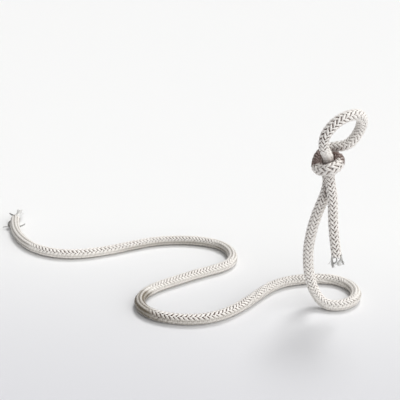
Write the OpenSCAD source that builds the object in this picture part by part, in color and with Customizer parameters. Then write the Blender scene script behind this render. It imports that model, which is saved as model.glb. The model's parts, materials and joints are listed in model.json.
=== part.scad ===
// A free-standing holder made of one braided rope.
// A steel rod inside the rope holds the shape: two bays on the table, a loop, a riser, a knot and a noose.

/* [Rope] */
// Diameter of the rope over the rod
rope_d = 11.5; // [10:0.25:12.5]
// Diameter of a strand of the rope where the knot squeezes it
knot_d = 10; // [9.4:0.1:10.6]
// Diameter of the tail, which has no rod inside
tail_d = 10.8; // [9:0.1:12]
// Depth of the gaps between the stitches of the braid
braid_depth = 0.8; // [0.3:0.1:1.2]
// Length of one stitch of the braid along the rope
stitch_l = 9.6; // [8:0.2:12]
// Length of one stitch where the rope bends round the knot and the noose
knot_stitch_l = 6.4; // [5.6:0.2:9]

/* [Rod] */
// Diameter of the steel rod
rod_d = 6; // [4:0.25:6.5]
// Gap between the rod and the rope, on the radius
rod_gap = 0.1; // [0.05:0.05:0.2]
// Distance from each end of the rope to the end of the rod
rod_setback = 14; // [10:1:24]

/* [Noose] */
// Inside diameter of the noose
noose_d = 30.5; // [28.5:0.5:33]
// Angle of the noose's axis to the length of the holder, seen from above
noose_turn = -44; // [-60:1:-30]
// How far the top of the noose leans along its axis
noose_lean = 9.5; // [6:0.5:12]
// How far the far side of the noose leans along its axis
noose_swing = 4; // [1:0.5:6]
// How far the near side of the noose bows back along its axis
noose_bow = 3; // [0:0.5:4]
// Height of the middle of the noose
noose_h = 184.5; // [182:0.5:188]

/* [Knot] */
// Height of the middle of the knot
knot_h = 155; // [153:0.5:158]

/* [Frayed ends] */
// Number of loose yarns at each end
yarn_count = 8; // [5:1:10]
// Diameter of a loose yarn at its root
yarn_d = 2.6; // [1.5:0.1:3]
// Length of the longest loose yarn
yarn_l = 13; // [8:1:18]

/* [Hidden] */

rope_sides = 16;
rod_sides = 8;
tail_sides = 12;
yarn_sides = 6;
yarn_rings = 6;
face_gap = 0.1;
rope_colour = [0.86, 0.84, 0.80];
steel_colour = [0.62, 0.63, 0.65];

// Route on the table, from the frayed end: two bays and the loop
floor_route = [
    [-198, 131], [-192, 98], [-179, 67], [-154, 36], [-118, 22], [-84, 27], [-52, 41], [-20, 56],
    [12, 60], [42, 55], [64, 40], [72, 15], [64, -8], [38, -24], [6, -46], [-14, -62],
    [-26, -82], [-22, -104], [-4, -119], [22, -125], [48, -121], [70, -105], [90, -82], [110, -57],
    [134, -43], [162, -39], [184, -44], [197, -64], [192, -86], [176, -97]
];

// Route up from the loop to the knot
riser_route = [
    [162, -95, 6.5], [153, -89, 14], [147, -85, 28], [144, -84, 46], [143.5, -84, 64],
    [146, -84, 84], [151, -84, 104], [157, -84, 121]
];

// Passes of the knot from its middle, counted in strand diameters
knot_at = [156.5, -89, knot_h];
knot_turn = [
    [0.20, 0.55, -2.05], [0, 0.56, -1.20], [0.08, 0.56, -0.45], [0.37, 0.50, 0.19],
    [0.76, 0.16, 0.58], [1.00, -0.46, 0.50], [0.81, -1.23, 0.24], [0.14, -1.68, 0],
    [-0.60, -1.44, -0.22], [-0.98, -0.66, -0.27], [-0.97, 0.34, -0.07], [-0.65, 1.18, 0.34],
    [0.05, 1.59, 0.82], [0.96, 1.44, 1.20]
];
knot_leg = [[-0.10, -0.71, 0.91], [-0.02, -0.48, 0.10], [0.12, -0.49, -0.67], [0.22, -0.52, -1.50]];

// Route of the tail below the knot
tail_route = [
    [159.5, -96, 128], [161, -97.5, 116], [162, -98, 104], [163.5, -98.5, 92],
    [165.5, -99, 80], [168, -99, 68], [169, -99, 62]
];

// Noose, from its far lower side over the top to its near lower side
noose_at = [168.5, -93, noose_h];
noose_axis = [cos(noose_turn), sin(noose_turn), 0];
noose_side = [sin(noose_turn), -cos(noose_turn), 0];
noose_r = (noose_d + rope_d)/2;
bow_angle = 33;
function bowed(a) = noose_bow*pow(max(0, cos(a - bow_angle)), 4);
noose_route = [
    for (a = [222:-42:-30])
        noose_at + noose_r*(cos(a)*noose_side + sin(a)*[0, 0, 1])
            + (noose_lean*sin(a) - noose_swing*cos(a) - bowed(a))*noose_axis
];

rope_route = concat(
    [for (p = floor_route) [p.x, p.y, rope_d/2]],
    riser_route,
    [for (p = knot_turn) knot_at + knot_d*p],
    noose_route,
    [for (p = knot_leg) knot_at + knot_d*p]
);
route = concat(rope_route, tail_route);

// Smooth curve through a list of points: a cubic B-spline whose control points are drawn outwards
function at(list, i) = i < 0 ? 2*list[0] - list[1]
    : i >= len(list) ? 2*list[len(list) - 1] - list[len(list) - 2]
    : list[i];
function controls(list) = [
    for (i = [0:len(list) - 1]) list[i] + (2*list[i] - at(list, i - 1) - at(list, i + 1))/6
];
function blend(a, b, c, d, t) =
    (pow(1 - t, 3)*a + (3*pow(t, 3) - 6*t*t + 4)*b + (3*t + 3*t*t - 3*pow(t, 3) + 1)*c + pow(t, 3)*d)/6;
function curve_at(ctrl, t) =
    let (i = min(floor(t), len(ctrl) - 2))
    blend(at(ctrl, i - 1), at(ctrl, i), at(ctrl, i + 1), at(ctrl, i + 2), t - i);

// Length along the curve against the curve's own parameter
function length_table(ctrl, steps) = [
    for (i = 0, l = 0, p = curve_at(ctrl, 0); i <= steps*(len(ctrl) - 1);
         i = i + 1, q = curve_at(ctrl, i/steps), l = l + norm(q - p), p = q)
        [l, i/steps]
];

rope_controls = controls(route);
curve_steps = 12;
lengths = length_table(rope_controls, curve_steps);
parameters = [for (pair = lengths) [pair[1], pair[0]]];
function place(s) =
    let (p = curve_at(rope_controls, lookup(s, lengths)))
    [p.x, p.y, max(p.z, rope_d/2)];
knot_start = lookup(len(floor_route) + len(riser_route), parameters);
rope_l = lookup(len(rope_route) - 1, parameters);
whole_l = lookup(len(route) - 1, parameters);

// Rings along a curve: centre, side, up and the way along, carried on without twist
function unit(v) = v/norm(v);
function level(v, along) = unit(v - (v*along)*along);
function carried(centres, along) = [
    for (i = 0, up = level([0, 0, 1], along[0]); i < len(centres);
         i = i + 1, up = i < len(centres) ? level(up, along[i]) : up)
        [centres[i], cross(along[i], up), up, along[i]]
];
function frames(at_lengths) =
    carried([for (s = at_lengths) place(s)], [for (s = at_lengths) unit(place(s + 0.5) - place(s - 0.5))]);
function ring(frame, r, sides) = [
    for (j = [0:sides - 1])
        frame[0] + r*(cos(360*j/sides)*frame[1] + sin(360*j/sides)*frame[2])
];

// Stations in threes, so that the bore's rings fall on every third ring of the braid
function spaced(from, to, step) =
    let (n = 3*ceil((to - from)/(3*step)))
    [for (i = [0:n - 1]) from + (to - from)*i/n];
stations = concat(
    spaced(0, rod_setback, stitch_l/2),
    spaced(rod_setback, knot_start, stitch_l/2),
    spaced(knot_start, rope_l - rod_setback, knot_stitch_l/2),
    spaced(rope_l - rod_setback, rope_l, knot_stitch_l/2),
    [rope_l]
);
rope_frames = frames(stations);
last_ring = len(stations) - 1;
bore_rings = [0:3:last_ring];
rod_rings = [
    for (i = bore_rings)
        if (stations[i] > rod_setback - 1 && stations[i] < rope_l - rod_setback + 1) i
];

// The knot squeezes the rope, which fills out again over a short length
squeeze_from = 1.7*knot_d;
squeeze_l = 14;
function ease(x) = let (t = min(max(x, 0), 1)) t*t*(3 - 2*t);
function strand_r(p, free_d) =
    (knot_d + (free_d - knot_d)*ease((norm(p - knot_at) - squeeze_from)/squeeze_l))/2;

// Surface of the braid: raised stitches and gaps take turns round and along it
braid_points = [
    for (i = [0:last_ring])
        let (f = rope_frames[i], r = strand_r(f[0], rope_d))
        let (high = ring(f, r, rope_sides), low = ring(f, r - braid_depth, rope_sides))
        for (j = [0:rope_sides - 1]) (i + j) % 2 == 0 ? high[j] : low[j]
];

// Braided sleeve with a bore for the rod, which has half as many sides
module braid(bore_frames, bore_r) {
    n = rope_sides;
    m = rod_sides;
    bore = [for (f = bore_frames) each ring(f, bore_r, m)];
    b = len(bore_frames) - 1;
    base = len(braid_points);
    skin = [
        for (i = [0:last_ring - 1], j = [0:n - 1])
            let (k = (j + 1) % n)
            let (p = i*n + j, q = i*n + k, u = p + n, v = q + n)
            each (i + j) % 2 == 0 ? [[p, q, u], [q, v, u]] : [[p, v, u], [p, q, v]]
    ];
    wall = [
        for (i = [0:b - 1], j = [0:m - 1])
            let (k = (j + 1) % m)
            let (p = base + i*m + j, q = base + i*m + k)
            each [[p, p + m, q], [q, p + m, q + m]]
    ];
    first_face = [
        for (j = [0:m - 1])
            let (k = (j + 1) % m, o = 2*j)
            each [[o + 1, o, base + j], [base + k, o + 1, base + j], [(o + 2) % n, o + 1, base + k]]
    ];
    last_face = [
        for (j = [0:m - 1])
            let (k = (j + 1) % m, first = last_ring*n, o = first + 2*j, c = base + b*m)
            each [[o, o + 1, c + j], [o + 1, c + k, c + j], [o + 1, first + (2*j + 2) % n, c + k]]
    ];
    polyhedron(concat(braid_points, bore), concat(skin, wall, first_face, last_face));
}

// Plain tube along a list of frames, with a radius at each
module tube(tube_frames, radii, sides) {
    last = len(tube_frames) - 1;
    points = [for (i = [0:last]) each ring(tube_frames[i], radii[i], sides)];
    skin = [
        for (i = [0:last - 1], j = [0:sides - 1])
            let (k = (j + 1) % sides)
            let (p = i*sides + j, q = i*sides + k)
            each [[p, q, p + sides], [q, q + sides, p + sides]]
    ];
    first_face = [for (j = [sides - 1:-1:0]) j];
    last_face = [for (j = [0:sides - 1]) last*sides + j];
    polyhedron(points, concat(skin, [first_face, last_face]));
}

// Loose yarns at an end: they leave the end face in a ring, spread as they go and grow thinner
function yarn_r(t) = yarn_d/2*(1 - 0.6*t);
function yarn_frames(k, frame, out, ring_r) =
    let (turn = 360*(k + 0.5)/yarn_count)
    let (radial = cos(turn)*frame[1] + sin(turn)*frame[2])
    let (reach = yarn_l*(0.8 + 0.2*sin(137*k)), spread = yarn_l*(0.25 + 0.15*cos(211*k)))
    let (centres = [
        for (i = [0:yarn_rings])
            let (t = i/yarn_rings)
            let (p = frame[0] + ring_r*radial + (face_gap + reach*t)*out + spread*t*t*radial)
            [p.x, p.y, max(p.z, yarn_r(t))]
    ])
    let (along = [for (i = [1:yarn_rings]) unit(centres[i] - centres[i - 1])])
    carried(centres, concat([out], along));
module yarns(each_frames) {
    for (f = each_frames)
        tube(f, [for (i = [0:yarn_rings]) yarn_r(i/yarn_rings)], yarn_sides);
}
floor_yarns = [
    for (k = [0:yarn_count - 1])
        yarn_frames(k, rope_frames[0], -rope_frames[0][3], (rope_d + rod_d)/4)
];

// The holder is drawn about the middle of its footprint, without the tail
footprint = concat(braid_points, [for (y = floor_yarns, f = y) f[0]]);
function middle(values) = (min(values) + max(values))/2;
foot = [middle([for (p = footprint) p.x]), middle([for (p = footprint) p.y]), 0];

module rope() {
    color(rope_colour) translate(-foot) braid([for (i = bore_rings) rope_frames[i]], rod_d/2 + rod_gap);
}

module steel_rod() {
    color(steel_colour)
        translate(-foot)
            tube([for (i = rod_rings) rope_frames[i]], [for (i = rod_rings) rod_d/2], rod_sides);
}

tail_steps = ceil((whole_l - rope_l)/tail_d);
tail_stations = [
    for (i = [0:tail_steps]) rope_l + face_gap + (whole_l - rope_l - face_gap)*i/tail_steps
];
tail_frames = frames(tail_stations);
tail_end = tail_frames[tail_steps];

module rope_tail() {
    color(rope_colour)
        translate(-foot)
            tube(tail_frames, [for (f = tail_frames) strand_r(f[0], tail_d)], tail_sides);
}

module floor_end_yarns() {
    color(rope_colour) translate(-foot) yarns(floor_yarns);
}

module tail_end_yarns() {
    color(rope_colour)
        translate(-foot)
            yarns([for (k = [0:yarn_count - 1]) yarn_frames(k, tail_end, tail_end[3], (tail_d - yarn_d)/2)]);
}

rope();
steel_rod();
rope_tail();
floor_end_yarns();
tail_end_yarns();
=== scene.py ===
import json
import math

import bpy
import numpy as np
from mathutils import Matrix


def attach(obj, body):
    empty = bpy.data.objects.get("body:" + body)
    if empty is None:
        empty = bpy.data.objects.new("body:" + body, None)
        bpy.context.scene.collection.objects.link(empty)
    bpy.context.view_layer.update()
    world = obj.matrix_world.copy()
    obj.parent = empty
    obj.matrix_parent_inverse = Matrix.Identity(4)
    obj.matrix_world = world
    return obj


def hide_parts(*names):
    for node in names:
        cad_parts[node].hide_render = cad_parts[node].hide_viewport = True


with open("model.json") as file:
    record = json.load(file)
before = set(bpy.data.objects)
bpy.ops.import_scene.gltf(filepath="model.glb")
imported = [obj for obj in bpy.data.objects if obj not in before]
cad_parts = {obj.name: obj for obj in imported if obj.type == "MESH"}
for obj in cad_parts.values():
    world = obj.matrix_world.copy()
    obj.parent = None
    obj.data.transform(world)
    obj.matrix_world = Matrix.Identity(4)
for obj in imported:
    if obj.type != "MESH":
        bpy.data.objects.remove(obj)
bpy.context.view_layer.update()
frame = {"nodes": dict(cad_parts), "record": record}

# Camera

view = {
    "place": (0.0378, -0.8408, 0.418),  # metres, in front of the holder and above the table
    "pitch": 22,  # degrees below level
    "lens": 74.7,
    "sensor": 36,
}


def addCamera():
    data = bpy.data.cameras.new("photoView")
    data.lens = view["lens"]
    data.sensor_width = view["sensor"]
    data.sensor_fit = "HORIZONTAL"
    data.clip_end = 50
    camera = bpy.data.objects.new("photoView", data)
    camera.location = view["place"]
    camera.rotation_euler = (math.radians(90 - view["pitch"]), 0, 0)
    bpy.context.scene.collection.objects.link(camera)
    bpy.context.scene.camera = camera


addCamera()

# Route of the rope, in metres: the points that it follows, from the frayed end on the table

rope = {
    "diameter": 0.0115,
    "knotDiameter": 0.0100,  # what the knot's passes are spaced by
    "knotFullness": 0.0105,  # the passes press into each other, so each is a little thicker than its space
    "frontFullness": 0.0127,  # near its middle, front and left they look wider, so they are thicker still
    "frontReach": 0.013,
    "legDiameter": 0.0101,  # where the noose's near end goes down into the knot
    "leg": (1.190, 1.246),  # from, to, in metres along the rope
    "legEdges": (0.025, 0.015),  # lengths over which it thins and fills out again
    "knotReach": 1.7,  # where the squeeze begins to ease, in strand diameters from the knot's middle
    "fillOut": 0.014,  # length over which the rope fills out again
    "tailDiameter": 0.0108,  # where there is no rod inside
    "rodDiameter": 0.0060,
    "rodCover": 0.00012,  # room between the rod and the wall that the strands are laid in
    "leastWall": 0.0017,  # least thickness that is left for the strands
    "tailCore": 0.0045,  # diameter of the soft middle of the tail
    "thinning": 0.030,  # length over which the rope thins to the tail's diameter
    "coreTaper": 0.012,  # length over which the tail's middle shrinks to its own
    "coreCover": 0.0003,  # how far the tail's middle reaches into the strands
    "bareEnd": 0.006,  # length at the floor end where the strands have come apart
    "stationSpacing": 0.0010,
}
floorRoute = [
    (-0.198, 0.131), (-0.192, 0.098), (-0.179, 0.067), (-0.154, 0.036), (-0.118, 0.022), (-0.084, 0.027),
    (-0.052, 0.041), (-0.020, 0.056), (0.012, 0.060), (0.042, 0.055), (0.064, 0.040), (0.072, 0.015),
    (0.064, -0.008), (0.038, -0.024), (0.006, -0.046), (-0.014, -0.062), (-0.026, -0.082), (-0.022, -0.104),
    (-0.004, -0.119), (0.022, -0.125), (0.048, -0.121), (0.070, -0.105), (0.090, -0.082), (0.110, -0.057),
    (0.134, -0.043), (0.162, -0.039), (0.184, -0.044), (0.197, -0.064), (0.192, -0.086), (0.176, -0.097),
]
riserRoute = [
    (0.162, -0.095, 0.0065), (0.153, -0.089, 0.014), (0.147, -0.085, 0.028), (0.144, -0.084, 0.046),
    (0.1435, -0.084, 0.064), (0.146, -0.084, 0.084), (0.151, -0.084, 0.104), (0.157, -0.084, 0.121),
]
knotMiddle = np.array([0.1565, -0.089, 0.155])
knotTurn = [  # passes of the knot from its middle, counted in strand diameters
    (0.20, 0.55, -2.05), (0, 0.56, -1.20), (0.08, 0.56, -0.45), (0.37, 0.50, 0.19),
    (0.76, 0.16, 0.58), (1.00, -0.46, 0.50), (0.81, -1.23, 0.24), (0.14, -1.68, 0),
    (-0.60, -1.44, -0.22), (-0.98, -0.66, -0.27), (-0.97, 0.34, -0.07), (-0.65, 1.18, 0.34),
    (0.05, 1.59, 0.82), (0.96, 1.44, 1.20),
]
knotLeg = [(-0.10, -0.71, 0.91), (-0.02, -0.48, 0.10), (0.12, -0.49, -0.67), (0.22, -0.52, -1.50)]
tailRoute = [
    (0.1610, -0.096, 0.128), (0.1625, -0.0975, 0.116), (0.1633, -0.098, 0.104), (0.1645, -0.0985, 0.092),
    (0.166, -0.099, 0.080), (0.168, -0.099, 0.068), (0.169, -0.099, 0.062),
]
noose = {
    "middle": (0.1685, -0.093, 0.1845),
    "insideDiameter": 0.0305,
    "turn": -44,  # degrees, seen from above
    "lean": 0.0095,  # of its top along its axis
    "swing": 0.004,  # of its far side the same way
    "bow": 0.003,  # of its near side, backwards
    "bowAngle": 33,  # degrees above the middle on the near side
}


def nooseRoute():
    # a circle about the noose's own axis; its top leans along the axis and its sides swing the other way,
    # and its near side bows back by the fourth power of the cosine from the bow's angle
    turn = math.radians(noose["turn"])
    axis = np.array([math.cos(turn), math.sin(turn), 0])
    side = np.array([math.sin(turn), -math.cos(turn), 0])
    radius = (noose["insideDiameter"] + rope["diameter"])/2
    a = np.radians(np.arange(222, -31, -42))[:, None]
    circle = radius*(np.cos(a)*side + np.sin(a)*np.array([0, 0, 1]))
    bowed = noose["bow"]*np.maximum(0, np.cos(a - math.radians(noose["bowAngle"])))**4
    lean = noose["lean"]*np.sin(a) - noose["swing"]*np.cos(a) - bowed
    return np.array(noose["middle"]) + circle + lean*axis


def wholeRoute():
    floorHeight = rope["diameter"]/2
    stiff = [(x, y, floorHeight) for x, y in floorRoute] + list(riserRoute)
    stiff += [tuple(knotMiddle + rope["knotDiameter"]*np.array(p)) for p in knotTurn]
    stiff += [tuple(p) for p in nooseRoute()]
    stiff += [tuple(knotMiddle + rope["knotDiameter"]*np.array(p)) for p in knotLeg]
    return np.array(stiff + list(tailRoute)), len(stiff)


def extended(points):
    # one more point at each end, as far beyond it as its neighbour lies before it
    return np.vstack([2*points[0] - points[1], points, 2*points[-1] - points[-2]])


def smoothCurve(points, perSpan=60, rest=rope["diameter"]/2):
    # cubic B-spline whose control points are drawn outwards by a sixth of the second difference
    # it never goes below the height that it rests at
    e = extended(points)
    e = extended(points + (2*e[1:-1] - e[:-2] - e[2:])/6)
    t = np.linspace(0, len(points) - 1, perSpan*(len(points) - 1) + 1)
    k = np.minimum(t.astype(int), len(points) - 2)
    u = (t - k)[:, None]
    curve = ((1 - u)**3*e[k] + (3*u**3 - 6*u**2 + 4)*e[k + 1]
             + (-3*u**3 + 3*u**2 + 3*u + 1)*e[k + 2] + u**3*e[k + 3])/6
    if rest is not None:
        curve[:, 2] = np.maximum(curve[:, 2], rest)
    return curve, t


def unit(v):
    return v/np.linalg.norm(v, axis=-1, keepdims=True)


def layPath():
    # places every millimetre of rope, with the way along and an up vector carried on without twist
    points, stiffCount = wholeRoute()
    curve, t = smoothCurve(points)
    length = np.concatenate([[0], np.cumsum(np.linalg.norm(np.diff(curve, axis=0), axis=1))])
    s = np.linspace(0, length[-1], int(length[-1]/rope["stationSpacing"]) + 1)
    mount = next(m for m in frame["record"]["mounts"] if m["name"] == "noose")
    shift = np.array(mount["pos_m"]) - np.array(noose["middle"])
    centre = np.stack([np.interp(s, length, curve[:, c]) for c in range(3)], axis=1) + shift
    along = unit(np.gradient(centre, axis=0))
    up = np.zeros_like(centre)
    last = np.array([0.0, 0.0, 1.0])
    for i, a in enumerate(along):
        last = unit(last - (last @ a)*a)
        up[i] = last
    return {
        "s": s, "centre": centre, "along": along, "up": up, "side": np.cross(along, up),
        "split": int(np.searchsorted(s, np.interp(stiffCount - 1, t, length))), "knot": knotMiddle + shift,
        "knotFront": [knotMiddle + rope["knotDiameter"]*np.array(knotTurn[i]) + shift for i in (2, 7, 9)],
    }


path = layPath()
print("rope laid,", round(path["s"][-1], 3), "m, tail from", round(path["s"][path["split"]], 3), "m")

# Meshes


def tubesToMesh(name, rings, uv, fields=None):
    # rings[tube, station, corner] are places; each tube is closed by a flat face at both ends
    tubes, stations, corners, _ = rings.shape
    base = np.arange(tubes)[:, None, None]*stations*corners
    i = np.arange(stations - 1)[None, :, None]
    j = np.arange(corners)[None, None, :]
    k = (j + 1) % corners
    a, b = base + i*corners + j, base + i*corners + k
    quads = np.stack(np.broadcast_arrays(a, b, b + corners, a + corners), axis=-1).reshape(-1, 4)
    turn = np.arange(corners)
    first = base[:, 0] + turn[::-1]
    last = base[:, 0] + (stations - 1)*corners + turn
    corner = np.concatenate([quads.ravel(), first.ravel(), last.ravel()])
    sizes = np.concatenate([np.full(len(quads), 4), np.full(2*tubes, corners)])
    starts = np.concatenate([[0], np.cumsum(sizes)[:-1]])
    mesh = bpy.data.meshes.new(name)
    mesh.vertices.add(tubes*stations*corners)
    mesh.vertices.foreach_set("co", rings.astype(np.float32).ravel())
    mesh.loops.add(len(corner))
    mesh.loops.foreach_set("vertex_index", corner.astype(np.int32))
    mesh.polygons.add(len(sizes))
    mesh.polygons.foreach_set("loop_start", starts.astype(np.int32))
    mesh.polygons.foreach_set("use_smooth", np.arange(len(sizes)) < len(quads))
    layer = mesh.uv_layers.new(name="yarnMap")
    u, v = (np.broadcast_to(w, rings.shape[:3]) for w in uv)
    across = u[:, :-1]
    step = across[..., 1:2] - across[..., 0:1]
    quadU = np.stack(np.broadcast_arrays(across, across + step, across + step, across), axis=-1)
    quadV = np.stack([v[:, :-1], v[:, :-1], v[:, 1:], v[:, 1:]], axis=-1)
    ends = np.zeros((2*tubes*corners, 2))
    loops = np.concatenate([np.stack([quadU, quadV], axis=-1).reshape(-1, 2), ends])
    layer.data.foreach_set("uv", loops.astype(np.float32).ravel())
    for key, values in (fields or {}).items():
        attribute = mesh.attributes.new(key, "FLOAT", "POINT")
        values = np.broadcast_to(values, rings.shape[:3]).astype(np.float32)
        attribute.data.foreach_set("value", values.ravel())
    mesh.update(calc_edges=True)
    piece = bpy.data.objects.new(name, mesh)
    bpy.context.scene.collection.objects.link(piece)
    return piece


# Braid: eight strands wind to the right and eight to the left, each over two and under two

braid = {
    "strandsEachWay": 8,
    # an eighth of the length in which a strand goes once round: place along the rope, length of a stitch
    "stitches": [(0.00, 0.0046), (0.20, 0.0045), (0.25, 0.0040), (0.49, 0.0039), (0.56, 0.0046),
                 (0.62, 0.0045), (0.68, 0.0038), (0.86, 0.0038), (0.90, 0.0045), (1.13, 0.0045),
                 (1.20, 0.0042), (1.24, 0.0046), (1.30, 0.0050)],
    "fill": 0.99,  # strand width against the room it has, in a closed braid
    "openFill": -0.03,  # what an open braid adds to that
    "packedFill": 1.30,  # the same where the braid is packed, so that neighbours merge into a ridge
    "pinch": 0.20,  # share of the width lost where a strand dives under, in a closed braid
    "openPinch": 0.34,  # what an open braid adds to that
    "squareness": 0.35,  # how far a packed strand's section goes from round towards square
    "sharpness": 1.2,  # how suddenly a strand dives under
    "plumpness": 1.2,  # strand thickness against half of the wall
    "corners": 12,
    "widthPlay": 0.05,
    "anglePlay": 0.05,
    "depthPlay": 0.00012,
    "wavePlay": (0.8, 1.25),  # shares by which the lengths of the slow waves vary
    "firstAngle": 26.0,  # degrees
    "grooveDepth": 0.0009,  # of the grooves along the rope between the rows, where the braid is packed
    "grooveFrom": 0.7,  # share of the rope's radius that they stay outside of
    # where the braid is packed smooth all round: from, to, in metres, share of the groove's depth
    "packed": [(-0.100, 0.100, 1.0), (0.328, 0.382, 1.0), (0.492, 0.545, 1.0), (0.788, 0.822, 0.8),
               (1.222, 1.246, 0.25)],
    "packedEdge": 0.020,  # length over which it turns from open to packed
    "packedShade": 0.5,  # share of the gaps' painted shade that it loses there
    # on the table it is packed on its lower side too, below this height on its round, from -1 to 1
    "packedBelow": 0.20,
    "lowEdge": 0.35,
    "lowGroove": 0.45,  # share of the groove's depth that is left there
    # how open the braid is: its gaps are wider where a bend or a pull opens it, and their painted shade is
    # darker; place, openness
    "open": [(0.00, 1.00), (0.30, 1.00), (0.38, 0.85), (0.54, 0.90), (0.57, 1.15), (0.65, 1.05),
             (0.69, 0.85), (0.80, 0.80), (0.88, 0.65), (0.94, 0.65), (0.99, 0.80), (1.01, 0.70),
             (1.08, 0.70), (1.10, 0.75), (1.13, 0.60), (1.16, 0.65), (1.19, 0.95), (1.20, 1.15),
             (1.225, 1.15), (1.24, 0.70), (1.27, 0.90)],
    # painted shade on the rope's sides where it lies on the table, brown, from below up to a height; place,
    # amount, height that it reaches to
    "lowShade": [(0.00, 0.40, 0.6), (0.06, 0.30, 0.6), (0.11, 0.15, 0.6), (0.20, 0.20, 0.6),
              (0.22, 0.60, 0.6), (0.30, 0.75, 0.6), (0.35, 0.65, 0.7), (0.38, 0.20, 0.6),
              (0.49, 0.20, 0.6), (0.505, 1.10, 1.2), (0.545, 1.15, 1.2), (0.57, 0.65, 0.9),
              (0.63, 0.40, 0.8), (0.69, 0.30, 0.6), (0.75, 0.20, 0.6), (0.79, 0.35, 0.9),
              (0.83, 0.35, 0.9), (0.86, 0.05, 0.6)],
    "lowShadeEdge": 0.5,
    "underside": (0.45, -0.30, 0.4),  # painted shade the same way under all of the rope on the table: amount, height, edge
    "knotRoom": 0.036,  # how far from the knot's middle its creases and patches are looked for
    "passApart": 0.020,  # how far along the rope another pass has to be from this one
    "creaseReach": 0.0085,  # how near it has to be to shade this one
    "creaseTurn": 0.3,  # how far a point may face away from it and still be shaded
    # painted shadow patches in the knot, where its inner sides lie in shade, though not on the noose's near
    # end
    # place in strand diameters from the knot's middle, reach, amount
    "patches": [((-1.05, -0.20, 0.40), 0.0108, 0.95), ((-0.70, 0.70, 0.80), 0.0095, 0.95),
                ((0.95, -0.15, 0.85), 0.0118, 0.95), ((1.25, -0.75, 0.50), 0.0085, 0.80),
                ((0.20, -1.20, -0.30), 0.0200, 0.12)],
    "patchEdge": 2.2,  # how suddenly a patch ends
    "legCrease": 0.6,  # share of the crease's shade that the noose's near end takes
    # turns of the whole braid about the rope, added between two places: from, to, turns
    "twists": [(0.535, 0.575, -0.085), (0.640, 0.715, 0.585), (0.715, 0.800, -0.3)],
}
slowWaves = (0.053, 0.021, 0.0087)  # lengths in metres of the waves that make the braid uneven


def unevenness(s, strands, seed):
    # sum of three sines along the rope, each strand with phases of its own, from -1 to 1
    rng = np.random.default_rng(seed)
    total = np.zeros((len(strands), len(s)))
    for wave in slowWaves:
        phase = rng.uniform(0, 2*np.pi, 2*braid["strandsEachWay"])[strands]
        total += np.sin(2*np.pi*s[None, :]/(wave*rng.uniform(*braid["wavePlay"])) + phase[:, None])
    return total/len(slowWaves)


def smoothStep(x):
    t = np.clip(x, 0, 1)
    return t*t*(3 - 2*t)


def windBraid():
    # turn = an eighth of a turn per stitch, summed
    # packed = product of two smooth steps, summed over the stretches
    # twist = sum of smooth steps between the places of each twist
    # free = diameter where nothing squeezes the rope, with a smooth step to the tail's
    # core = diameter of the rope's middle, with a smooth step to the tail's
    s, edge = path["s"], braid["packedEdge"]
    rate = 1/(braid["strandsEachWay"]*np.interp(s, *np.transpose(braid["stitches"])))
    path["turn"] = 2*np.pi*np.concatenate([[0], np.cumsum((rate[1:] + rate[:-1])/2*np.diff(s))])
    spans = [(smoothStep((s - a)/edge + 0.5)*smoothStep((b - s)/edge + 0.5), share)
             for a, b, share in braid["packed"]]
    path["packed"] = sum(span for span, _ in spans)
    path["grooved"] = sum(span*share for span, share in spans)
    twist = sum(2*np.pi*count*smoothStep((s - a)/(b - a)) for a, b, count in braid["twists"])
    path["twist"] = twist + math.radians(braid["firstAngle"])
    tailward = s - s[path["split"]]
    thinned, shrunk = smoothStep(1 + tailward/rope["thinning"]), smoothStep(tailward/rope["coreTaper"])
    path["free"] = rope["diameter"] + (rope["tailDiameter"] - rope["diameter"])*thinned
    path["core"] = rope["rodDiameter"] + (rope["tailCore"] - rope["rodDiameter"])*shrunk


windBraid()


def creaseShade(places, outward, s):
    # painted shade: 1 where a point faces and touches another pass of the rope, 0 where the nearest one is
    # out of reach; painted shadow patches are added beside it
    shade = np.zeros(places.shape[:3])
    passes = np.arange(0, len(path["s"]), 2)
    passes = passes[np.linalg.norm(path["centre"][passes] - path["knot"], axis=1) < braid["knotRoom"]]
    for i in np.flatnonzero(np.linalg.norm(places[0, :, 0] - path["knot"], axis=-1) < braid["knotRoom"]):
        others = path["centre"][passes[np.abs(path["s"][passes] - s[i]) > braid["passApart"]]]
        if len(others):
            way = others[None, None] - places[:, i, :, None]
            apart = np.linalg.norm(way, axis=-1)
            nearest = apart.argmin(axis=-1)[..., None]
            apart = np.take_along_axis(apart, nearest, axis=-1)[..., 0]
            way = np.take_along_axis(way, nearest[..., None], axis=2)[:, :, 0]
            facing = np.sum(way*outward[:, i], axis=-1)/apart
            near = 1 - (apart - rope["knotDiameter"]/2)/braid["creaseReach"]
            shade[:, i] = smoothStep(near)*smoothStep(braid["creaseTurn"] + facing)
        if rope["leg"][0] < s[i] < rope["leg"][1]:
            shade[:, i] *= braid["legCrease"]
            continue
        # painted shadow: dark patches where the knot's inner sides lie in shade
        for place, reach, amount in braid["patches"]:
            spot = path["knot"] + rope["knotDiameter"]*np.array(place)
            away = np.linalg.norm(places[:, i] - spot, axis=-1)
            shade[:, i] = np.maximum(shade[:, i], amount*smoothStep(braid["patchEdge"]*(1 - away/reach)))
    return shade


def squeezedRadius(s, centre, freeDiameter):
    # the knot squeezes the rope, which fills out beyond it; the noose's near end stays thin for longer
    reach = np.linalg.norm(centre - path["knot"], axis=1) - rope["knotReach"]*rope["knotDiameter"]
    away = np.min([np.linalg.norm(centre - place, axis=1) for place in path["knotFront"]], axis=0)
    front = smoothStep(1 - away/rope["frontReach"])
    squeezed = rope["knotFullness"] + (rope["frontFullness"] - rope["knotFullness"])*front
    a, b = rope["leg"]
    thinEdge, fullEdge = rope["legEdges"]
    thin = smoothStep((s - a)/thinEdge)*smoothStep((b - s)/fullEdge)
    free = freeDiameter + (rope["legDiameter"] - freeDiameter)*thin
    return (squeezed + (free - squeezed)*smoothStep(reach/rope["fillOut"]))/2


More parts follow.
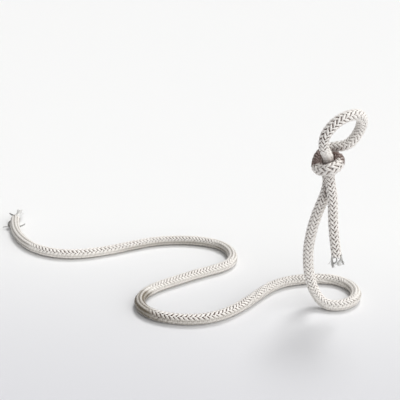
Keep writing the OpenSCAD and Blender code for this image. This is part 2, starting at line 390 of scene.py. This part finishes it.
def braidStrands(name, kept, hand, chosen):
    # angle round the rope = strand's own eighth of a turn + hand * one turn per eight stitches
    # distance from the middle = half way out + hand * a flattened cosine of four times the angle,
    # four being half of the eight strands, since each goes over two and under two
    # section = an ellipse whose cosine and sine are raised to a power below one where the braid is packed
    # it is worked out with two stations more at each end, so that the rope and the tail meet flush
    part = slice(max(kept.start - 2, 0), min(kept.stop + 2, len(path["s"])))
    kept = slice(kept.start - part.start, kept.stop - part.start)
    s, centre = path["s"][part], path["centre"][part]
    along, up, side = (path[k][part] for k in ("along", "up", "side"))
    count = braid["strandsEachWay"]
    waves = count/2
    numbers = np.array(chosen) + (count if hand < 0 else 0)
    outer = squeezedRadius(s, centre, path["free"][part])
    inner = np.minimum(path["core"][part]/2 + rope["rodCover"], outer - rope["leastWall"])
    theta = (2*np.pi*np.array(chosen)[:, None]/count + hand*path["turn"][part]
             + braid["anglePlay"]*unevenness(s, numbers, 3))
    wave = np.tanh(braid["sharpness"]*np.cos(waves*theta + np.pi/4))/np.tanh(braid["sharpness"])
    theta = theta + path["twist"][part]
    wall = outer - inner
    thick = wall*braid["plumpness"]/2
    sunken = braid["depthPlay"]*(unevenness(s, numbers, 5) - 1)
    rho = (outer + inner)/2 + hand*wave*(wall - thick)/2 + sunken
    radial = np.cos(theta)[..., None]*side + np.sin(theta)[..., None]*up
    onTable = smoothStep(2 - centre[:, 2]/rope["diameter"])
    low = onTable*smoothStep((braid["packedBelow"] - radial[..., 2])/braid["lowEdge"] + 0.5)
    packed = np.maximum(path["packed"][part], low)
    opening = np.interp(s, *np.transpose(braid["open"]))
    line = centre + rho[..., None]*radial
    ahead = unit(np.gradient(line, axis=1))
    across = unit(np.cross(ahead, radial))
    out = np.cross(across, ahead)
    room = np.pi*(outer + inner)/count*np.abs(np.sum(ahead*along, axis=-1))
    fill = (1 - packed)*(braid["fill"] + braid["openFill"]*opening) + packed*braid["packedFill"]
    pinch = (1 - packed)*(braid["pinch"] + braid["openPinch"]*opening)
    width = room*fill*(1 + braid["widthPlay"]*unevenness(s, numbers, 7))*(1 - pinch*(1 - wave**2))
    a = 2*np.pi*np.arange(braid["corners"])/braid["corners"]
    power = 1 - braid["squareness"]*packed[..., None]
    wide = np.sign(np.cos(a))*np.abs(np.cos(a))**power
    high = np.sign(np.sin(a))*np.abs(np.sin(a))**power
    rings = (line[:, :, None]
             + (width[..., None]*wide/2)[..., None]*across[:, :, None]
             + (thick[None, :, None]*high/2)[..., None]*out[:, :, None])
    distance = np.linalg.norm(rings - centre[None, :, None], axis=-1)
    outward = (rings - centre[None, :, None])/distance[..., None]
    angle = np.arctan2(np.sum(outward*up[None, :, None], axis=-1),
                       np.sum(outward*side[None, :, None], axis=-1))
    bands = np.maximum(path["grooved"][part][None, :, None],
                       braid["lowGroove"]*(packed*(1 - path["packed"][part]))[..., None])
    # groove = eighth power of the sine of the angle that the wave takes the cosine of
    groove = np.sin(waves*(angle - path["twist"][part][None, :, None]) + np.pi/4)**8*bands
    cut = braid["grooveDepth"]*groove*smoothStep(4*(distance/outer[None, :, None] - braid["grooveFrom"]))
    rings = rings - cut[..., None]*outward
    sunk = np.clip((outer[None, :, None] - distance)/wall[None, :, None], 0, 1)
    sunk = sunk*(1 - braid["packedShade"]*packed[..., None])
    dive = (1 - hand*wave)[..., None]/2
    u = np.arange(braid["corners"])/braid["corners"] + numbers[:, None, None]
    v = (path["turn"][part]/(2*np.pi))[None, :, None]
    # painted shade on the lower sides of the rope where it lies on the table, and under it
    places, amounts, heights = np.transpose(braid["lowShade"])
    amount, reach = (np.interp(s, places, w)[None, :, None] for w in (amounts, heights))
    lowShade = amount*smoothStep((reach - outward[..., 2])/braid["lowShadeEdge"])
    least, height, edge = braid["underside"]
    lowShade = onTable[None, :, None]*np.maximum(lowShade, least*smoothStep((height - outward[..., 2])/edge))
    fields = {"sunk": sunk, "dive": dive, "open": opening[None, :, None], "groove": groove, "lowShade": lowShade,
              "crease": creaseShade(rings, outward, s)}
    fields = {key: values[:, kept] for key, values in fields.items()}
    return tubesToMesh(name, rings[:, kept], (u, v[:, kept]), fields)


def addRope():
    pieces = []
    stiff = slice(int(rope["bareEnd"]/rope["stationSpacing"]), path["split"] + 1)
    for hand, word in ((1, "right"), (-1, "left")):
        for half, first in (("A", 0), ("B", 1)):
            chosen = list(range(first, braid["strandsEachWay"], 2))
            pieces.append(braidStrands(f"{word}Strands{half}", stiff, hand, chosen))
    return pieces


ropePieces = addRope()
print("rope braided")


def addTail():
    part = slice(path["split"], len(path["s"]))
    tubes = [braidStrands(f"{word}TailStrands", part, hand, list(range(braid["strandsEachWay"])))
             for hand, word in ((1, "right"), (-1, "left"))]
    # soft core: a plain tube that fills the middle, so that no light comes through the gaps; it takes the
    # gaps' full painted shade
    turn = 2*np.pi*np.arange(braid["corners"])/braid["corners"]
    side, up = path["side"][part][:, None], path["up"][part][:, None]
    rings = path["centre"][part][:, None] + (path["core"][part]/2 + rope["coreCover"])[:, None, None]*(
        np.cos(turn)[:, None]*side + np.sin(turn)[:, None]*up)
    fields = {"sunk": 1, "dive": 1, "open": 1, "groove": 0, "lowShade": 0, "crease": 0}
    tubes.append(tubesToMesh("tailCore", rings[None], (turn/(2*np.pi), path["s"][part][:, None]), fields))
    bpy.ops.object.select_all(action="DESELECT")
    for tube in tubes:
        tube.select_set(True)
    bpy.context.view_layer.objects.active = tubes[0]
    bpy.ops.object.join()
    tubes[0].name = "hangingTail"
    return tubes[0]


tail = addTail()
print("tail braided")

# Frayed ends: the strands come apart into wavy locks of fine yarn

fray = {
    "yarnDiameter": 0.00036,
    "stations": 24,
    "corners": 6,
    "waveHeight": 0.00022,
    "waveLength": 0.0060,
    "twist": 1.5,  # radians that a yarn winds round its lock from root to tip
    "stray": 0.05,  # how far tips stray to the side, as a share of the lock's length
    "taper": 0.45,  # share of its thickness that a yarn loses towards its tip
    "thicknessPlay": (0.7, 1.25),
    "shadePlay": 0.2,
    "raggedness": 0.22,  # by what share of its length a yarn may stop short of its lock's tip
    # each lock: half of its width in millimetres, share of that left at its tip, number of yarns,
    # shade from 0 to 1, and its route in millimetres from the middle of the rope's end:
    # to the right, away from the viewer, up
    # a lock's shade is painted shade, for locks that lie in shadow
    "floorLocks": [
        (0.9, 0.9, 30, 0.8, [(3, -12, 4), (0, -9, 4.6), (-3, -5, 4.2), (-7.5, 0, 4)]),
        (0.6, 0.7, 12, 0.45, [(3.5, -10, 4.6), (2.6, -1, 5), (1.8, 5, 5), (2.5, 12, 5)]),
        (1.5, 0.8, 44, 0.0, [(3.5, -10, 2.5), (4, -3, 4), (4.8, 5, 4), (5, 14, 3)]),
        (1.3, 0.8, 34, 0.1, [(1.5, -9, 1.5), (2.5, -3, 3.5), (3, 5, 3.5), (3.5, 12, 2.5)]),
        (1.3, 0.8, 30, 0.2, [(-1, -9, -1), (-1, -2, 0.5), (0, 4, 0), (1, 9, -1)]),
        (0.9, 0.8, 14, 0.3, [(-3, -9, -2), (-4, -3, -2), (-4.5, 2, -3), (-5, 6, -4)]),
        (0.8, 1.2, 10, 0.1, [(4.5, -10, 1), (6, -4, 2), (7, 3, 2), (7.5, 10, 0)]),
        (1.3, 0.9, 46, 0.9, [(-0.5, -17, 1.5), (-3, -20, 1), (-3.8, -24, 0), (-2, -29.5, -1)]),
        (0.5, 0.5, 9, 0.7, [(-1, -29, -1), (-4, -27.5, -1.5), (-7, -26.5, -2), (-11, -26.5, -3)]),
        (0.3, 0.8, 4, 0.3, [(8, -33, 1), (10, -33, 1.5), (12, -32.5, 1.5), (14, -32, 1.5)]),
        (0.8, 0.6, 16, 0.7, [(12, -33, 0.5), (13.5, -32.5, 1), (15.5, -31, 1.5), (18, -28.5, 2)]),
    ],
    "tailLocks": [
        (1.1, 0.85, 36, 0.5, [(-3.9, -1, 2), (-4.5, -1.5, -2), (-4.3, -1.5, -5), (-3.8, -1.5, -9),
                              (-2.8, -1.5, -12.5)]),
        (0.6, 0.8, 18, 0.7, [(-1, -3, 1.5), (-0.2, -3.5, -2), (-0.4, -3.5, -4.5), (-2, -3, -6.5),
                             (-3.8, -2, -8)]),
        (0.9, 0.5, 20, 0.6, [(4, 1, 3), (5, 0, 0), (5, -1, -3), (6, -1, -6), (7.4, -1, -9.5)]),
        (0.8, 1.0, 26, 0.3, [(4.4, -2, 1), (4.2, -2.5, -2.5), (2.6, -2, -5.5), (1.6, -1, -8), (3.4, 0, -10),
                             (6, 0.5, -9.5)]),
        (0.4, 0.8, 7, 0.4, [(3, -1, -8.5), (1.5, -1.5, -8), (0, -1.5, -8.5), (-1, -1.5, -9.5)]),
        (0.2, 1.0, 2, 0.2, [(-4.5, 0, -5), (-6, 0, -7), (-7.2, 0, -9), (-8, 0, -9.5)]),
        (1.0, 0.7, 20, 0.5, [(1.5, 2, 2), (1.5, 2.5, -1), (1, 2.5, -2.5), (0.5, 2.5, -3.5)]),
        (1.0, 0.8, 16, 0.5, [(-1.5, 2.5, 2), (-2, 3, -1), (-2, 3, -3), (-1.5, 3, -4.5)]),
        (0.9, 0.7, 14, 0.4, [(1.5, -2.5, 2), (1.5, -3, 0), (1.8, -3, -1), (2, -3, -2)]),
    ],
}


def thinTubes(name, lines, radius, shade):
    # round tubes along lines[yarn, station], each thinner towards its tip
    ahead = unit(np.gradient(lines, axis=1))
    helper = np.where(np.abs(ahead[..., 2:3]) > 0.9, [1.0, 0.0, 0.0], [0.0, 0.0, 1.0])
    helper = helper[:, :1].repeat(lines.shape[1], axis=1)
    across = unit(np.cross(ahead, helper))
    out = np.cross(across, ahead)
    a = 2*np.pi*np.arange(fray["corners"])/fray["corners"]
    taper = 1 - fray["taper"]*np.linspace(0, 1, lines.shape[1])**2
    size = (radius[:, None]*taper)[..., None]
    rings = (lines[:, :, None] + (size*np.cos(a))[..., None]*across[:, :, None]
             + (size*np.sin(a))[..., None]*out[:, :, None])
    u = np.arange(fray["corners"])[None, None, :]/fray["corners"] + np.arange(len(lines))[:, None, None]
    v = np.linspace(0, 1, lines.shape[1])[None, :, None]
    return tubesToMesh(name, rings, (u, v), {"shade": shade[:, None, None]})


def looseYarns(name, end, locks, seed, rest=None):
    # each yarn keeps its own place across its lock, drawn in towards the tip, plus a small wave of its own
    rng = np.random.default_rng(seed)
    steps = np.linspace(0, 1, fray["stations"])
    lines, radius, shade = [], [], []
    for halfWidth, gather, count, dark, route in locks:
        curve, t = smoothCurve(np.array(route, float)/1000, rest=None)
        reach = np.linalg.norm(np.diff(curve, axis=0), axis=1).sum()
        share = 1 - fray["raggedness"]*rng.uniform(0, 1, count)[:, None]**2
        at = share*steps[None]*t[-1]
        middle = np.stack([np.interp(at, t, curve[:, c]) for c in range(3)], axis=-1)
        ahead = unit(np.gradient(middle, axis=1))
        across = unit(np.cross(ahead, [0.3, 0.9, 0.3]))
        other = np.cross(ahead, across)
        spot = halfWidth/1000*np.sqrt(rng.uniform(0, 1, (count, 1)))*(1 - (1 - gather)*steps)
        way = rng.uniform(0, 2*np.pi, (count, 1)) + fray["twist"]*steps
        phase = rng.normal(0, 0.7, (count, 1))
        wave = fray["waveHeight"]*np.sin(2*np.pi*steps*reach/fray["waveLength"] + phase)
        stray = rng.normal(0, fray["stray"], (count, 1))*reach*steps**2
        offset = ((spot*np.cos(way) + wave*steps + stray)[..., None]*across
                  + (spot*np.sin(way))[..., None]*other)
        lines.append(path["centre"][end] + middle + offset)
        radius.append(fray["yarnDiameter"]/2*rng.uniform(*fray["thicknessPlay"], count))
        shade.append(np.clip(dark + rng.uniform(-fray["shadePlay"], fray["shadePlay"], count), 0, 1))
    lines, radius, shade = (np.concatenate(values) for values in (lines, radius, shade))
    if rest is not None:
        lines[..., 2] = np.maximum(lines[..., 2], rest + radius[:, None])
    return thinTubes(name, lines, radius, shade)


tailFray = looseYarns("tailFray", -1, fray["tailLocks"], 11)
floorFray = looseYarns("floorFray", 0, fray["floorLocks"], 21, rest=0.0)
print("ends frayed")

# Materials


def toLinear(code):
    # sRGB hex to linear colour
    c = np.array([int(code[i:i + 2], 16) for i in (1, 3, 5)])/255
    return (*np.where(c <= 0.04045, c/12.92, ((c + 0.055)/1.055)**2.4), 1)


def newMaterial(name):
    material = bpy.data.materials.new(name)
    material.use_nodes = True
    tree = material.node_tree
    tree.nodes.clear()
    return material, tree


def addNode(tree, kind, settings=None, inputs=None):
    # one node with its settings, and a value or a link for each named input
    node = tree.nodes.new(kind)
    for key, value in (settings or {}).items():
        setattr(node, key, value)
    for key, value in (inputs or {}).items():
        if isinstance(value, bpy.types.NodeSocket):
            tree.links.new(value, node.inputs[key])
        else:
            node.inputs[key].default_value = value
    return node


nylon = {
    "top": "#FDF9F3",
    # colour of the painted shade in the gaps, in the knot's creases and in its patches
    "gap": "#6A5046",
    # colour of the painted shade on the rope's lower sides on the table and in its grooves
    "lowShade": "#746A58",
    "creaseDepth": 0.95,  # how far a crease of the knot goes towards the gap's colour, as painted shade
    "lowShadeDepth": 0.65,  # how far painted low shade of 1 goes towards its colour
    "cloudDepth": 0.08,
    "cloudScale": 260.0,  # clouds in a metre
    "roughness": 0.33,
    "sheen": 0.15,
    "yarnsAcross": 6,  # yarns round a strand, three of them on its outer side
    "filaments": (30, 24, 1),  # cells of noise round a strand, and along one turn of it about the rope
    "yarnHeight": 0.00025,
}
# dark: painted shade of the locks that lie in shadow
looseYarn = {"light": "#F4F3F0", "dark": "#77756F", "roughness": 0.35, "sheen": 0.1}
steel = {"colour": "#C9CACC", "roughness": (0.22, 0.40), "unevenScale": 900.0}
tableFinishAndShade = {
    # near: painted shade, greyer towards the viewer
    "near": "#DADADD",
    "far": "#F6F6F5",
    "from": -0.34,  # where the near colour ends, in metres away from the viewer
    "to": 0.14,  # where the far colour begins
    "slant": 0.15,  # how much nearer both places are for each metre to the right
    "roughness": 0.75,
}


def braidedNylon():
    # braided nylon rope, 16 strands: white with painted warm shade in its gaps, creases, grooves and lower
    # sides, a soft sheen on each strand
    material, tree = newMaterial("braidedNylon")
    uv = addNode(tree, "ShaderNodeUVMap", {"uv_map": "yarnMap"})
    split = addNode(tree, "ShaderNodeSeparateXYZ", inputs={"Vector": uv.outputs[0]})
    sunk = addNode(tree, "ShaderNodeAttribute", {"attribute_name": "sunk"})
    place = addNode(tree, "ShaderNodeTexCoord")
    # yarns: grooves along the strand
    turn = addNode(tree, "ShaderNodeMath", {"operation": "MULTIPLY"},
                   {0: split.outputs["X"], 1: 2*math.pi*nylon["yarnsAcross"]})
    ridge = addNode(tree, "ShaderNodeMath", {"operation": "COSINE"}, {0: turn.outputs[0]})
    # filaments: noise drawn out along the strand
    stretch = addNode(tree, "ShaderNodeMapping",
                      inputs={"Vector": uv.outputs[0], "Scale": nylon["filaments"]})
    filament = addNode(tree, "ShaderNodeTexNoise", {"noise_dimensions": "2D"},
                       {"Vector": stretch.outputs[0], "Scale": 1.0, "Detail": 3.0, "Roughness": 0.6})
    height = addNode(tree, "ShaderNodeMath", {"operation": "MULTIPLY_ADD"},
                     {0: ridge.outputs[0], 1: 0.5, 2: filament.outputs[0]})
    bump = addNode(tree, "ShaderNodeBump", inputs={"Strength": 0.5, "Distance": nylon["yarnHeight"],
                                                   "Height": height.outputs[0]})
    # soiling: clouds a few millimetres across; painted shade: darker where a strand lies deep or dives
    # under
    clouds = addNode(tree, "ShaderNodeTexNoise", inputs={"Vector": place.outputs["Object"],
                                                         "Scale": nylon["cloudScale"], "Detail": 2.0})
    deep = addNode(tree, "ShaderNodeMapRange", inputs={"Value": sunk.outputs["Fac"], "From Min": 0.28,
                                                       "From Max": 0.62, "To Min": 0.0, "To Max": 1.0})
    dive = addNode(tree, "ShaderNodeAttribute", {"attribute_name": "dive"})
    under = addNode(tree, "ShaderNodeMapRange", inputs={"Value": dive.outputs["Fac"], "From Min": 0.45,
                                                        "From Max": 0.80, "To Min": 0.0, "To Max": 0.9})
    shade = addNode(tree, "ShaderNodeMath", {"operation": "MAXIMUM"},
                    {0: deep.outputs[0], 1: under.outputs[0]})
    cloud = addNode(tree, "ShaderNodeMapRange", inputs={"Value": clouds.outputs[0], "From Min": 0.35,
                                                        "From Max": 0.75, "To Min": 0.0,
                                                        "To Max": nylon["cloudDepth"]})
    opening = addNode(tree, "ShaderNodeAttribute", {"attribute_name": "open"})
    groove = addNode(tree, "ShaderNodeAttribute", {"attribute_name": "groove"})
    crease = addNode(tree, "ShaderNodeAttribute", {"attribute_name": "crease"})
    lowShade = addNode(tree, "ShaderNodeAttribute", {"attribute_name": "lowShade"})
    # painted shade: the gaps, scaled by openness, and the knot's creases and patches go towards the gap's
    # colour
    gaps = addNode(tree, "ShaderNodeMath", {"operation": "MULTIPLY"},
                   {0: shade.outputs[0], 1: opening.outputs["Fac"]})
    creases = addNode(tree, "ShaderNodeMath", {"operation": "MULTIPLY_ADD"},
                      {0: crease.outputs["Fac"], 1: nylon["creaseDepth"], 2: cloud.outputs[0]})
    amount = addNode(tree, "ShaderNodeMath", {"operation": "ADD", "use_clamp": True},
                     {0: gaps.outputs[0], 1: creases.outputs[0]})
    # painted shade on the lower sides on the table and along the grooves, towards its own colour
    lowShadeAndGroove = addNode(tree, "ShaderNodeMath", {"operation": "MULTIPLY_ADD", "use_clamp": True},
                     {0: lowShade.outputs["Fac"], 1: nylon["lowShadeDepth"], 2: groove.outputs["Fac"]})
    lowShaded = addNode(tree, "ShaderNodeMix", {"data_type": "RGBA"},
                    {"Factor": lowShadeAndGroove.outputs[0], "A": toLinear(nylon["top"]),
                     "B": toLinear(nylon["lowShade"])})
    colour = addNode(tree, "ShaderNodeMix", {"data_type": "RGBA"},
                     {"Factor": amount.outputs[0], "A": lowShaded.outputs["Result"],
                      "B": toLinear(nylon["gap"])})
    shader = addNode(tree, "ShaderNodeBsdfPrincipled",
                     inputs={"Base Color": colour.outputs["Result"], "Roughness": nylon["roughness"],
                             "IOR": 1.53, "Specular IOR Level": 0.6, "Sheen Weight": nylon["sheen"],
                             "Sheen Roughness": 0.4, "Normal": bump.outputs[0]})
    addNode(tree, "ShaderNodeOutputMaterial", inputs={"Surface": shader.outputs[0]})
    return material


def looseNylon():
    # unlaid nylon yarn: thin, glossy and half see-through, so it looks greyer than the rope; darker locks
    # carry painted shade
    material, tree = newMaterial("looseNylonYarn")
    shade = addNode(tree, "ShaderNodeAttribute", {"attribute_name": "shade"})
    colour = addNode(tree, "ShaderNodeMix", {"data_type": "RGBA"},
                     {"Factor": shade.outputs["Fac"], "A": toLinear(looseYarn["light"]),
                      "B": toLinear(looseYarn["dark"])})
    shader = addNode(tree, "ShaderNodeBsdfPrincipled",
                     inputs={"Base Color": colour.outputs["Result"], "Roughness": looseYarn["roughness"],
                             "IOR": 1.53, "Sheen Weight": looseYarn["sheen"]})
    addNode(tree, "ShaderNodeOutputMaterial", inputs={"Surface": shader.outputs[0]})
    return material


def drawnSteel():
    # bright drawn steel bar: finely uneven sheen, though the rope hides nearly all of it
    material, tree = newMaterial("brightDrawnSteel")
    place = addNode(tree, "ShaderNodeTexCoord")
    cloud = addNode(tree, "ShaderNodeTexNoise", inputs={"Vector": place.outputs["Object"],
                                                        "Scale": steel["unevenScale"], "Detail": 4.0})
    smoothest, roughest = steel["roughness"]
    rough = addNode(tree, "ShaderNodeMapRange", inputs={"Value": cloud.outputs[0], "To Min": smoothest,
                                                        "To Max": roughest})
    shader = addNode(tree, "ShaderNodeBsdfPrincipled",
                     inputs={"Base Color": toLinear(steel["colour"]), "Metallic": 1.0,
                             "Roughness": rough.outputs[0]})
    addNode(tree, "ShaderNodeOutputMaterial", inputs={"Surface": shader.outputs[0]})
    return material


def paleTable():
    # matt white table top, with painted shade: a little greyer towards the viewer
    material, tree = newMaterial("paleTable")
    place = addNode(tree, "ShaderNodeTexCoord")
    split = addNode(tree, "ShaderNodeSeparateXYZ", inputs={"Vector": place.outputs["Object"]})
    slope = addNode(tree, "ShaderNodeMath", {"operation": "MULTIPLY_ADD"},
                    {0: split.outputs["X"], 1: tableFinishAndShade["slant"], 2: split.outputs["Y"]})
    far = addNode(tree, "ShaderNodeMapRange", {"interpolation_type": "SMOOTHSTEP"},
                  {"Value": slope.outputs[0], "From Min": tableFinishAndShade["from"],
                   "From Max": tableFinishAndShade["to"]})
    colour = addNode(tree, "ShaderNodeMix", {"data_type": "RGBA"},
                     {"Factor": far.outputs[0], "A": toLinear(tableFinishAndShade["near"]),
                      "B": toLinear(tableFinishAndShade["far"])})
    shader = addNode(tree, "ShaderNodeBsdfPrincipled",
                     inputs={"Base Color": colour.outputs["Result"], "Roughness": tableFinishAndShade["roughness"],
                             "Specular IOR Level": 0.2})
    addNode(tree, "ShaderNodeOutputMaterial", inputs={"Surface": shader.outputs[0]})
    return material


braidFinish, yarnFinish, steelFinish = braidedNylon(), looseNylon(), drawnSteel()
for piece in ropePieces + [tail]:
    piece.data.materials.append(braidFinish)
for piece in (tailFray, floorFray):
    piece.data.materials.append(yarnFinish)
rod = frame["nodes"]["steel_rod"]
rod.data.materials.clear()
rod.data.materials.append(steelFinish)
print("materials made")

# Table, light and colour

light = {
    "sky": "#F5F5F7",
    "skyStrength": 0.26,
    # broad soft lamps: strength, degrees across, degrees above the table,
    # degrees that they stand from straight behind towards the right
    "lamps": {"keyLight": (1.42, 20, 60, 24), "fillLight": (2.55, 100, 29, 130)},
    "tableSize": 14.0,
}


def addTable():
    half = light["tableSize"]/2
    mesh = bpy.data.meshes.new("tableTop")
    corners = [(-half, -half, 0), (half, -half, 0), (half, half, 0), (-half, half, 0)]
    mesh.from_pydata(corners, [], [(0, 1, 2, 3)])
    table = bpy.data.objects.new("tableTop", mesh)
    mesh.materials.append(paleTable())
    bpy.context.scene.collection.objects.link(table)


def addLight():
    world = bpy.data.worlds.new("softSky")
    bpy.context.scene.world = world
    world.use_nodes = True
    background = world.node_tree.nodes["Background"]
    background.inputs["Color"].default_value = toLinear(light["sky"])
    background.inputs["Strength"].default_value = light["skyStrength"]
    for name, (strength, spread, height, turn) in light["lamps"].items():
        data = bpy.data.lights.new(name, "SUN")
        data.energy = strength
        data.angle = math.radians(spread)
        lamp = bpy.data.objects.new(name, data)
        lamp.rotation_euler = (math.radians(height - 90), 0, -math.radians(turn))
        bpy.context.scene.collection.objects.link(lamp)
    bpy.context.scene.view_settings.view_transform = "Standard"


addTable()
addLight()

# What moves with what, and what stands for which solid

standIns = [(piece, "rope", "nylon_rope") for piece in ropePieces]
standIns += [(tail, "rope_tail", "nylon_rope"), (tailFray, "tail_end_yarns", "loose_yarn"),
             (floorFray, "floor_end_yarns", "loose_yarn")]
for piece, node, slot in standIns:
    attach(piece, "root")
    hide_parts(node)
